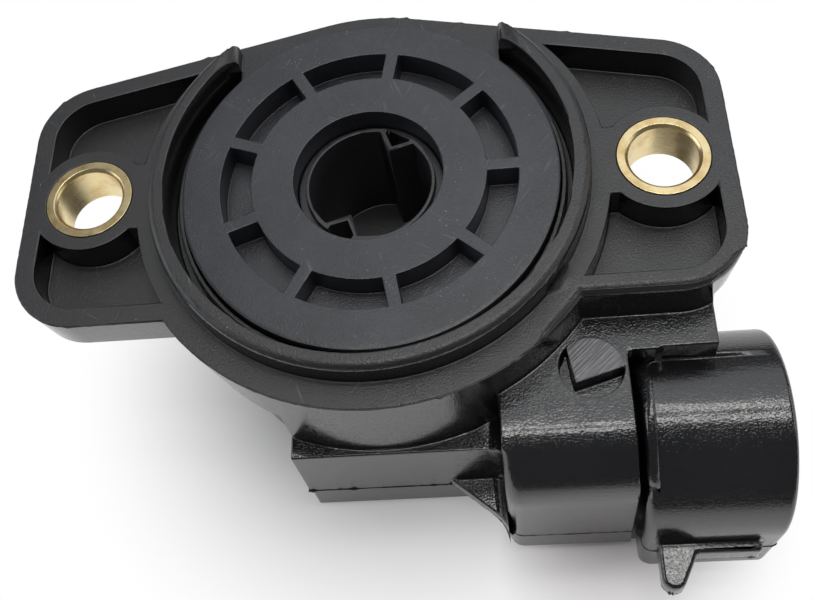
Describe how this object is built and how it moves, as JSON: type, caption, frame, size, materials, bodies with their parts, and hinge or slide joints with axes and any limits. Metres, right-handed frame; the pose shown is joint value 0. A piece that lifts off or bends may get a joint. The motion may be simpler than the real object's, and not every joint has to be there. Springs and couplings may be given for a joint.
{
  "type": "rotary position sensor",
  "caption": "Throttle position sensor with a two-hole flange, raised collar, spoked cover disc, sprung rotor with keyed socket and a side connector.",
  "frame": {"origin": "rotor axis at the mounting face, midway between the two mounting holes", "axes": "+Z out of the mounting face along the rotor axis, +X towards the connector mouth"},
  "size_m": [0.0588, 0.0458, 0.0231],
  "materials": {
    "body_plastic": "satin",
    "disc_plastic": "satin",
    "rotor_plastic": "satin",
    "brass": "satin",
    "spring_steel": "satin",
    "contact_alloy": "satin",
    "terminal_tin": "satin",
    "board": "matte"
  },
  "bodies": {
    "sensor_body": {"housing": "body_plastic", "cover_disc": "disc_plastic", "return_spring": "spring_steel", "track_board": "board", "terminal_1": "terminal_tin", "terminal_2": "terminal_tin", "terminal_3": "terminal_tin", "bushing_left": "brass", "bushing_right": "brass"},
    "rotor_body": {"rotor": "rotor_plastic", "wiper": "contact_alloy"}
  },
  "joints": [
    {"name": "rotor_turn", "type": "hinge", "parent": "sensor_body", "child": "rotor_body", "pos_m": [0, 0, 0], "axis": [0, 0, 1], "range_deg": [0, 105], "stiffness_Nm_per_rad": 0.012}
  ]
}
